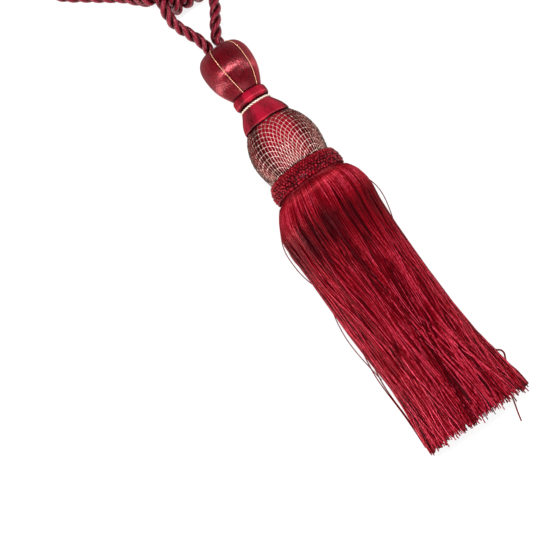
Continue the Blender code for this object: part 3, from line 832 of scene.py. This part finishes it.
# ---- Braid band ----------------------------------------------------------------------------------
# A knobbly gimp braid of the same floss, sewn round the foot of the ball over the fringe's heading:
# seven rows of small knots, set half a step aside from row to row, on a plain ground.
BRAID_BAND = (
    (92.8, 20.4), (93.6, 21.6), (96.0, 22.9), (99.6, 23.8),
    (103.0, 23.8), (104.8, 22.9), (105.0, 20.0),
)
BRAID_ROWS, BRAID_COLUMNS = 14, 120
GROUND_SUNK = 0.2  # how far the plain ground lies under the band's outline
KNOT_ROWS = 7
KNOTS_AROUND = 68
KNOT_SIZE = (0.84, 1.0, 0.86)  # half sizes: round the band, along it and out of it
KNOT_GRID = (8, 5)
KNOT_LIFT = 0.2
KNOT_LEAN = 0.4  # to one side and the other, from row to row
KNOT_STRAY = (0.26, 0.012, 0.4, 0.16)  # spread along the band, round it, in lean and in size
LAST_ROW_MORE = 0.25  # how much larger the last row is
UPPER_ROWS_SHEEN = 0.72  # the painted sheen: one paler tone which the upper rows share, and the lower ones less and less


def small_knots():
    """Small egg shapes in rows round the band: each is a ball's grid scaled to its three half sizes,
    turned a little in the band's surface, and set on the band's outline. Each has a tone of its own
    and is painted darker towards its foot, as painted shade, but the upper rows share one even, paler
    tone, a painted sheen."""
    outline = outline_rows(BRAID_BAND[1:-1], 200)
    row, column = np.divmod(np.arange(KNOT_ROWS * KNOTS_AROUND), KNOTS_AROUND)
    run = outline[2][-1] * (row + 0.55) / KNOT_ROWS + chance.normal(0, KNOT_STRAY[0], len(row))
    turn = 2 * math.pi * (column + 0.5 * (row % 2)) / KNOTS_AROUND
    turn = turn + chance.normal(0, KNOT_STRAY[1], len(row))
    lean = np.where(row % 2 == 0, KNOT_LEAN, -KNOT_LEAN) + chance.normal(0, KNOT_STRAY[2], len(row))
    size = 1 + chance.normal(0, KNOT_STRAY[3], len(row)) + LAST_ROW_MORE * (row == KNOT_ROWS - 1)
    round_it = 2 * math.pi * np.arange(KNOT_GRID[0]) / KNOT_GRID[0]
    down = math.pi * (np.arange(KNOT_GRID[1]) + 0.5) / KNOT_GRID[1]
    down, round_it = np.meshgrid(down, round_it, indexing="ij")
    ball = np.sin(down) * np.cos(round_it), np.sin(down) * np.sin(round_it), np.cos(down)
    egg = np.stack(ball, axis=-1) * KNOT_SIZE * size[:, None, None, None]
    cosine, sine = np.cos(lean)[:, None, None], np.sin(lean)[:, None, None]
    across = egg[..., 0] * cosine - egg[..., 1] * sine
    onward = egg[..., 0] * sine + egg[..., 1] * cosine
    along, radius = over_outline(outline, run[:, None, None] + onward, egg[..., 2] + KNOT_LIFT)
    points = on_head(along, radius, turn[:, None, None] + across / radius)
    crest = np.clip(egg[..., 2] / KNOT_SIZE[2], 0, 1)
    tone = chance.uniform(0.25, 1, len(row))[:, None, None] * (0.3 + 0.7 * crest)
    even = np.clip(0.75 - 0.25 * row, 0, 1)[:, None, None]
    return points[:, ::-1], tone * (1 - even) + UPPER_ROWS_SHEEN * even


# Rayon gimp: floss wrapped hard round a core and knotted, so its shine breaks into small spots.
braid_stops = (0.5, "#1e0104"), (1.0, "#90061b")
braid_look = {
    "Metallic": 0.2,
    "Roughness": 0.25,
    "Specular IOR Level": 0.5,
    "Specular Tint": linear("#ff949e"),
}
braid_weights = (1.0, 0.0, 0.6)
braid_finish = grained_thread(
    "rayon gimp braid", 1500.0, 2.0, braid_weights, braid_stops, braid_look, dent=0.0003
)
braid_spots = outline_rows(BRAID_BAND, BRAID_ROWS)[0]
braid_turn = 2 * math.pi * np.arange(BRAID_COLUMNS) / BRAID_COLUMNS
braid_base = on_head(braid_spots[:, :1], braid_spots[:, 1:] - GROUND_SUNK, braid_turn)
# Painted light and shade: the plain ground between the knots is paler near the band's top, with the upper
# rows' sheen, and darker further down, in the knots' shade.
ground_light_and_shade = np.interp(braid_spots[:, :1], (95, 99), (0.5, 0.1))
base = add_piece("braid_ground", braid_base, braid_finish, {"tone": ground_light_and_shade})
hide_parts("braid_band")
knots, knot_tone = small_knots()
braid_knots = add_piece("braid_knots", knots, braid_finish, {"tone": knot_tone[:, ::-1]})

# ---- Fringe --------------------------------------------------------------------------------------
# A long skirt of fine crimson rayon threads, sewn to a heading under the braid. It lies on the table:
# it bulges where it leaves the braid, settles towards its cut end, parts into locks near the top, and
# its threads wander and cross lower down. Four layers of them lie over each other.
BACKING_END = 106.0  # along the head's axis
ROOT_RADIUS = 22.8
STRAIGHT_AFTER = 40.0  # from here on the sections stand upright on the table
MIDDLE_SHARE = 0.48  # how far up a section is widest
BELLY = 1.3  # how much its lower half is filled out, from this far along the fringe
BELLY_FULL = 12.0
THREAD_RADIUS = 0.36
ROOT_Y = HEAD_TOP[1] - BACKING_END * math.cos(HEAD_DIP)
ROOT_LEVEL = HEAD_LEVEL + BACKING_END * math.sin(HEAD_DIP)
SECTION_RUN = (0, 2, 7, 13, 19, 30, 48, 66, 88, 110, 132, 148, 160, 176)
SECTIONS = (  # at each of these places along the fringe: half width, top, bottom, drift to the right
    (ROOT_RADIUS, 26.4, 29.8, 32.3, 33.5, 32.8, 32.2, 32.1, 32.2, 32.0, 32.3, 34.0, 35.6, 37.3),
    (ROOT_LEVEL + ROOT_RADIUS, 56.8, 57.9, 56.8, 55.2, 51.6, 46.4, 41.4, 36.4, 32.3, 29.2, 26.8, 25, 22.5),
    (ROOT_LEVEL - ROOT_RADIUS, 7.6, 4.4, 1.2, 0, 0, 0, 0, 0, 0, 0, 0, 0, 0),
    (0, -0.2, -0.6, -1.5, -2.4, -3.1, -3.3, -3.3, -3.1, -2.4, -1.0, 0.0, 0.5, 0.8),
)
STATIONS = 64
CUT = 176.0
PARTINGS = (  # place to the right at its start and end, from and to along the fringe, half width
    (-14.2, -17.5, 8.0, 40.0, 0.9),
    (-5.0, -5.6, 8.0, 38.0, 0.8),
    (2.6, 2.2, 16.0, 30.0, 0.5),
    (8.6, 7.6, 5.0, 24.0, 0.7),
    (12.0, 10.8, 18.0, 52.0, 1.0),
    (-16.9, -19.2, 30.0, 58.0, 1.0),
    (-15.0, -16.8, 104.0, 122.0, 1.1),
    (13.8, 11.6, 96.0, 124.0, 1.0),
    (-2.0, 1.8, 92.0, 116.0, 0.6),
)
START = -1.9  # the threads start behind the braid
PARTING_OPENS, PARTING_CLOSES = 5.0, 9.0  # the stretches in which a parting deepens and ends
PARTING_ABOVE = 14.0  # only threads at least so high are parted
PARTING_DEPTH = 1.6
PARTING_SHADE = 0.92
LOCK_PULL = (0.15, 0.75)  # least and most that a lock draws its threads to its middle
EDGE_DEPTH = 1.1  # how much deeper the threads between two locks lie
STRAY_LIFT = 0.6
STRAY_WANDER = 1.9
CUT_SPREAD = 1.3  # how unevenly the threads are cut, one by one
LOCK_CUT = 1.6  # and lock by lock,
SOLE_CUT = (9.0, 0.22)  # and how much shorter under the fringe, so far round it from the sole's middle
# Each row below runs along the fringe: the places, and what holds there.
GATHER = ((0, 10, 26, 60, 95, 130, 176), (0, 0.15, 0.95, 0.55, 0.45, 0.3, 0.5))
SWAY_GROWS = ((0, 15, 60, 176), (0, 0.12, 0.9, 1.3))
WANDER_GROWS = ((0, 10, 40, 110, 176), (0.05, 0.15, 0.6, 1.2, 1.6))
AROUND = ((0, 20, 176), (150, 190, 180))  # the length round a section
EDGE_SINKS = ((0, 10, 30, 90, 176), (0.1, 0.4, 1.0, 0.6, 0.6))
DEPTH_GROWS = ((0, 20, 60), (0.1, 0.5, 1.0))
EVEN = ((0, 9, 22, 176), (0.7, 0.45, 0.1, 0.0))  # how far the threads share one tone,
SHARED_TONE = 0.62
SHADE = (  # and how light they are: dark under the braid and where the bulge turns down
    (0.5, 5, 10, 16, 23, 30, 44, 60, 176),
    (0.3, 1.0, 1.1, 0.85, 0.45, 0.42, 0.72, 0.95, 1.12),
)
# Lengths and heights of waves: of a lock's sway, a thread's wandering, and its way in and out.
LOCK_WAVES = ((230, 2.4), (110, 1.4), (60, 0.5))
WANDER_WAVES = ((170, 0.9), (80, 0.6), (38, 0.22), (17, 0.09))
DEPTH_WAVES = ((90, 0.4), (40, 0.28), (18, 0.15))
LAYERS = (  # threads, locks, how deep, and the share that stray over the others
    (310, 32, 0.3, 0.12),
    (290, 27, 1.0, 0.0),
    (230, 30, 1.8, 0.0),
    (160, 24, 2.8, 0.0),
)
CREST_LIGHT_SIDE_SHADE = np.array([1.0, 0.42, 0.3, 0.42])  # painted light across a thread: its crest is painted bright, its sides in painted shade
LAYER_SHADE = 0.10  # how much darker each layer is than the one over it
DEEP = 1.5  # how deep a layer lies when its shade counts twice


def fringe_stations():
    """How far along the fringe each station lies: close together near the braid, wider apart below."""
    share = np.linspace(0, 1, STATIONS)
    return START + (CUT - START) * (0.65 * share + 0.35 * share**2)


def fringe_places(fraction, inside, run):
    """Places in the fringe: fraction is how far round a section's outline, from the middle of its flat
    sole, inside how far in from the outline, and run how far from the heading. Each is (threads,
    stations). A section is a dome on a flat sole, and near the heading it leans as the head does."""
    fraction, inside, run = np.broadcast_arrays(fraction, inside, run)
    places = np.empty((*fraction.shape, 3))
    turn = np.radians(np.arange(720) / 2 - 90)
    for number, at in enumerate(fringe_stations()):
        half, top, low, drift = (np.interp(at, SECTION_RUN, values) for values in SECTIONS)
        middle = low + MIDDLE_SHARE * (top - low)
        belly = 1 + (BELLY - 1) * min(1.0, at / BELLY_FULL)
        rise = np.where(np.sin(turn) < 0, belly * (middle - low), top - middle)
        ring = np.stack([half * np.cos(turn), np.maximum(rise * np.sin(turn), low - middle)], axis=1)
        ring = np.vstack([ring, ring[:1]])
        length = run_along(ring)
        across, up = read_line(ring, length, fraction[:, number] % 1 * length[-1]).T
        away = np.hypot(across, up)
        share = 1 - np.clip(inside[:, number] / away, -0.3, 1)
        height = np.maximum(middle + up * share, THREAD_RADIUS + 0.05)  # just over the table
        lean = np.clip(1 - run[:, number] / STRAIGHT_AFTER, 0, 1) * math.tan(HEAD_DIP)
        places[:, number, 0] = HEAD_TOP[0] + drift + across * share
        places[:, number, 1] = ROOT_Y - run[:, number] + (height - ROOT_LEVEL) * lean
        places[:, number, 2] = height
    return places


def waves(threads, *lengths_and_heights):
    """Wandering lines: for each thread a sum of sine waves along the run, with chance starts."""
    run = fringe_stations()
    total = np.zeros((threads, STATIONS))
    for length, height in lengths_and_heights:
        stretch = chance.uniform(0.75, 1.3, (threads, 1))
        start = chance.uniform(0, 2 * math.pi, (threads, 1))
        total += height * np.sin(2 * math.pi * run / (length * stretch) + start)
    return total


def parted(places, tone):
    """Partings between locks: near each one's middle line, given as a place to the right at its start
    and at its end, the threads sink by a bell curve across it, and lie in shade."""
    run = ROOT_Y - places[..., 1]
    sunk = np.zeros(tone.shape)
    for right, low_right, start, end, width in PARTINGS:
        share = np.clip((run - start) / (end - start), 0, 1)
        middle = right + (low_right - right) * share
        away = (places[..., 0] - middle) / (width * (0.5 + share * (1 - share) * 2))
        opened = np.clip((run - start) / PARTING_OPENS, 0, 1)
        sunk = np.maximum(sunk, np.exp(-(away**2)) * opened * np.clip((end - run) / PARTING_CLOSES, 0, 1))
    sunk = np.where(places[..., 2] > PARTING_ABOVE, sunk, 0)
    places[..., 2] -= PARTING_DEPTH * sunk
    return places, tone * (1 - PARTING_SHADE * sunk)


def fringe_layer(threads, locks, depth, stray):
    """One layer of threads. Each is drawn towards the middle of its lock, sways with it, and wanders on
    its own, more and more from the heading to the cut end; a stray share of them lie over the others.
    They are cut a little unevenly, and shorter under the fringe, where they rest on the table.
    Returns places and a tone for each point."""
    run = fringe_stations()
    first = (np.arange(threads) + chance.uniform(-0.5, 0.5, threads)) / threads
    centres = (np.arange(locks) + chance.uniform(-0.35, 0.35, locks)) / locks
    off = (first[:, None] - centres + 0.5) % 1 - 0.5
    lock = np.abs(off).argmin(axis=1)
    off = off[np.arange(threads), lock][:, None]
    gather = chance.uniform(*LOCK_PULL, locks)[lock][:, None] * np.interp(run, *GATHER)
    sway = waves(locks, *LOCK_WAVES)[lock] * np.interp(run, *SWAY_GROWS)
    free = (chance.uniform(0, 1, threads) < stray)[:, None]
    wander = waves(threads, *WANDER_WAVES)
    wander *= np.interp(run, *WANDER_GROWS) * np.where(free, STRAY_WANDER, 1.0)
    fraction = first[:, None] - off * gather + (sway + wander) / np.interp(run, *AROUND)
    edge = np.clip(np.abs(off) * locks * 2, 0, 1) ** 2
    inside = depth + EDGE_DEPTH * edge * np.interp(run, *EDGE_SINKS)
    inside = inside + waves(threads, *DEPTH_WAVES) * np.interp(run, *DEPTH_GROWS)
    inside = np.maximum(np.where(free, inside - STRAY_LIFT, inside), THREAD_RADIUS)
    last = CUT + chance.normal(0, CUT_SPREAD, threads) + LOCK_CUT * np.sin(lock * 2.4)
    from_sole = np.abs((first + 0.5) % 1 - 0.5)
    last = last - SOLE_CUT[0] * np.clip(1 - from_sole / SOLE_CUT[1], 0, 1) ** 0.5
    reach = run * (last / CUT)[:, None]
    own = chance.uniform(0, 1, threads)[:, None]
    even, shade = np.interp(run, *EVEN), np.interp(run, *SHADE)
    tone = (own * (1 - even) + SHARED_TONE * even) * shade
    return parted(fringe_places(fraction, inside, reach), tone * shade ** (depth / DEEP))


# Viscose rayon thread, bright: each fine thread has its own tone, and a line of light along it, partly from
# its shine and partly painted on its crest. Its twist is finer than the render shows, so it is drawn as
# grains of 1 to 2 mm, which show most where it is pale.
thread_stops = (0.0, "#2c0005"), (0.42, "#860413"), (1.0, "#d4405a")
thread_look = {
    "Metallic": 0.2,
    "Roughness": 0.27,
    "Specular IOR Level": 0.25,
    "Specular Tint": linear("#ff98a0"),
}
thread_weights = (0.0, 1.25, 0.375)
thread_finish = grained_thread("bright rayon thread", 620.0, 2.0, thread_weights, thread_stops, thread_look)
for number, (threads, locks, depth, stray) in enumerate(LAYERS):
    places, tone = fringe_layer(threads, locks, depth, stray)
    rings = tubes(places, THREAD_RADIUS, 4, places - places.mean(axis=0, keepdims=True))
    marks = {"tone": tone[:, :, None] * CREST_LIGHT_SIDE_SHADE * (1 - LAYER_SHADE * number)}
    layer = add_piece(f"fringe_threads_{number + 1}", rings, thread_finish, marks)
    if number == 0:
        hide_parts("fringe")

# ---- Stray threads -------------------------------------------------------------------------------
# Single threads of the fringe that stand away from it: bows at its sides, one with a kink, and long
# cut ends. Each is given as places to the right, along and up, and read on a smooth curve.
STRAY_RADIUS = np.array([0.32, 0.32, 0.32, 0.32, 0.38, 0.38, 0.6, 0.42, 0.5, 0.42])
STRAY_TONE = 0.22
UPRIGHT = np.array((0.0, 0.0, 1.0))
STRAY_THREADS = (
    ((-32.2, 26.0, 24.0), (-37.3, 14.7, 21.0), (-38.1, 3.7, 17.0), (-37.3, -5.5, 13.0), (-33.6, -18.0, 9.0)),
    ((-31.6, 25.0, 22.0), (-36.2, 7.6, 16.0), (-35.0, -2.4, 13.0), (-32.6, -12.0, 10.0)),
    ((28.0, 26.0, 23.0), (31.8, 15.3, 20.0), (32.0, 5.5, 16.0), (29.4, -6.0, 12.0), (26.0, -18.0, 9.0)),
    ((-34.0, -30.0, 7.0), (-37.3, -47.0, 5.0), (-37.7, -58.1, 3.5), (-36.4, -73.0, 2.2), (-34.6, -86.0, 1.6)),
    ((-33.6, -62.0, 4.0), (-36.4, -82.0, 2.4), (-36.1, -104.0, 1.6), (-36.0, -122.0, 1.0),
     (-36.6, -136.0, 0.6)),
    ((-33.0, -72.0, 3.0), (-35.5, -90.0, 2.0), (-35.3, -112.0, 1.2), (-35.4, -131.0, 0.6)),
    ((28.6, -98.0, 6.0), (31.4, -107.0, 4.0), (34.0, -111.6, 3.0), (36.2, -113.2, 2.6), (36.9, -116.2, 2.2),
     (35.2, -120.2, 1.8), (36.2, -126.0, 1.4), (37.6, -133.0, 0.9), (38.2, -140.2, 0.7)),
    ((33.0, -122.0, 3.0), (35.0, -131.0, 1.6), (36.4, -140.6, 0.5)),
    ((23.6, -130.0, 2.0), (25.2, -141.0, 0.8), (23.2, -149.2, 0.5), (21.4, -156.6, 0.5)),
    ((24.0, -130.0, 2.4), (26.0, -140.0, 0.9), (26.0, -145.0, 0.5)),
)
stray_places = np.stack([smooth_curve(places, np.linspace(0, 1, 40)) for places in STRAY_THREADS])
stray_rings = tubes(stray_places, STRAY_RADIUS[:, None], 5, UPRIGHT)
strays = add_piece("stray_threads", stray_rings, thread_finish, {"tone": STRAY_TONE})

# ---- Inner threads and cut ends ------------------------------------------------------------------
# The threads in the fringe's depth show only as darkness between the outer ones, so they are one ridged
# body. Their last few millimetres show as cut ends from the foot: stubs spread over the whole section,
# each between two places near the outline.
CORE_RIDGES = 360
CORE_REACH = 0.965  # of the fringe's length
CORE_DEPTH = 3.0
CORE_RIDGE = 0.4
CUT_ENDS = 1800
END_DEPTH = 3.2
END_RADIUS = 0.4
END_SHORT = 2.4  # how much shorter they are than the fringe, and the spread of that
END_SPREAD = 1.1

ridge = np.arange(CORE_RIDGES)[:, None]
core_inside = CORE_DEPTH + CORE_RIDGE * (ridge % 2)
core_places = fringe_places(ridge / CORE_RIDGES, core_inside, fringe_stations() * CORE_REACH)
# Its dark colour is painted shade: the darkness between the outer threads.
core_finish, core_tree, core_shader = new_material("rayon thread in the fringe's depth")
depth_look = {"Base Color": linear("#400409"), "Roughness": 0.8, "Specular IOR Level": 0.08}
set_inputs(core_tree, core_shader, depth_look)
core = add_piece("fringe_inner_threads", core_places.transpose(1, 0, 2), core_finish)

end_share = chance.uniform(0, 1, (3, CUT_ENDS, 1))
end_run = fringe_stations() * (1 + (chance.normal(0, END_SPREAD, (CUT_ENDS, 1)) - END_SHORT) / CUT)
one, other = (fringe_places(share, END_DEPTH, end_run)[:, [-3, -1]] for share in end_share[:2])
end_places = one + (other - one) * end_share[2, :, :, None]
end_rings = tubes(end_places, END_RADIUS, 4, UPRIGHT)
end_tone = chance.uniform(0.1, 0.75, (CUT_ENDS, 1, 1))
ends = add_piece("fringe_cut_ends", end_rings, thread_finish, {"tone": end_tone})
